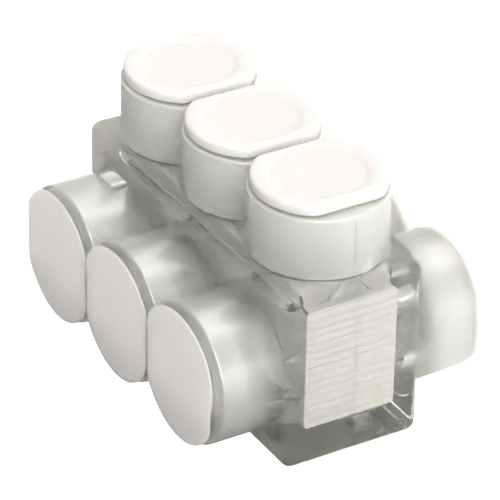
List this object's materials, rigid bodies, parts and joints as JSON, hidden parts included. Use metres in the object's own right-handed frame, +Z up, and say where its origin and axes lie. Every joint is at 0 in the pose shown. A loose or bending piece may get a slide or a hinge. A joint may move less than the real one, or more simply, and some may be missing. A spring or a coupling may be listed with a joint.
{
  "type": "multi-tap wire connector",
  "caption": "Clear insulated multi-tap connector: a drilled aluminium bar in a moulded cover, with wire collars on both sides, screw towers on top, and push-in caps.",
  "frame": {"origin": "middle of the cover's flat bottom", "axes": "+X along the row of ports, -Y the front wire entries, +Y the rear wire entries, +Z up along the screw towers"},
  "size_m": [0.087, 0.0662, 0.06],
  "materials": {
    "clear_cover": "satin, clear with a faint green-grey tint",
    "bar_metal": "mill finish with sawn ends",
    "screw_metal": "turned and threaded",
    "cap_plastic": "satin, milky white"
  },
  "bodies": {
    "cover": {"housing": "clear_cover", "connector_bar": "bar_metal"},
    "set_screw_1": {"set_screw_1": "screw_metal"},
    "set_screw_2": {"set_screw_2": "screw_metal"},
    "set_screw_3": {"set_screw_3": "screw_metal"},
    "screw_cap_1": {"screw_cap_1": "cap_plastic"},
    "screw_cap_2": {"screw_cap_2": "cap_plastic"},
    "screw_cap_3": {"screw_cap_3": "cap_plastic"},
    "port_cap_front_1": {"port_cap_front_1": "cap_plastic"},
    "port_cap_front_2": {"port_cap_front_2": "cap_plastic"},
    "port_cap_front_3": {"port_cap_front_3": "cap_plastic"},
    "port_cap_rear_1": {"port_cap_rear_1": "cap_plastic"},
    "port_cap_rear_2": {"port_cap_rear_2": "cap_plastic"},
    "port_cap_rear_3": {"port_cap_rear_3": "cap_plastic"}
  },
  "joints": [
    {"name": "set_screw_1_drive", "type": "slide", "parent": "cover", "child": "set_screw_1", "axis": [0, 0, -1], "range_m": [0, 0.012]},
    {"name": "set_screw_2_drive", "type": "slide", "parent": "cover", "child": "set_screw_2", "axis": [0, 0, -1], "range_m": [0, 0.012]},
    {"name": "set_screw_3_drive", "type": "slide", "parent": "cover", "child": "set_screw_3", "axis": [0, 0, -1], "range_m": [0, 0.012]},
    {"name": "screw_cap_1_pull", "type": "slide", "parent": "cover", "child": "screw_cap_1", "axis": [0, 0, 1], "range_m": [0, 0.03]},
    {"name": "screw_cap_2_pull", "type": "slide", "parent": "cover", "child": "screw_cap_2", "axis": [0, 0, 1], "range_m": [0, 0.03]},
    {"name": "screw_cap_3_pull", "type": "slide", "parent": "cover", "child": "screw_cap_3", "axis": [0, 0, 1], "range_m": [0, 0.03]},
    {"name": "port_cap_front_1_pull", "type": "slide", "parent": "cover", "child": "port_cap_front_1", "axis": [0, -1, 0], "range_m": [0, 0.05]},
    {"name": "port_cap_front_2_pull", "type": "slide", "parent": "cover", "child": "port_cap_front_2", "axis": [0, -1, 0], "range_m": [0, 0.05]},
    {"name": "port_cap_front_3_pull", "type": "slide", "parent": "cover", "child": "port_cap_front_3", "axis": [0, -1, 0], "range_m": [0, 0.05]},
    {"name": "port_cap_rear_1_pull", "type": "slide", "parent": "cover", "child": "port_cap_rear_1", "axis": [0, 1, 0], "range_m": [0, 0.05]},
    {"name": "port_cap_rear_2_pull", "type": "slide", "parent": "cover", "child": "port_cap_rear_2", "axis": [0, 1, 0], "range_m": [0, 0.05]},
    {"name": "port_cap_rear_3_pull", "type": "slide", "parent": "cover", "child": "port_cap_rear_3", "axis": [0, 1, 0], "range_m": [0, 0.05]}
  ]
}
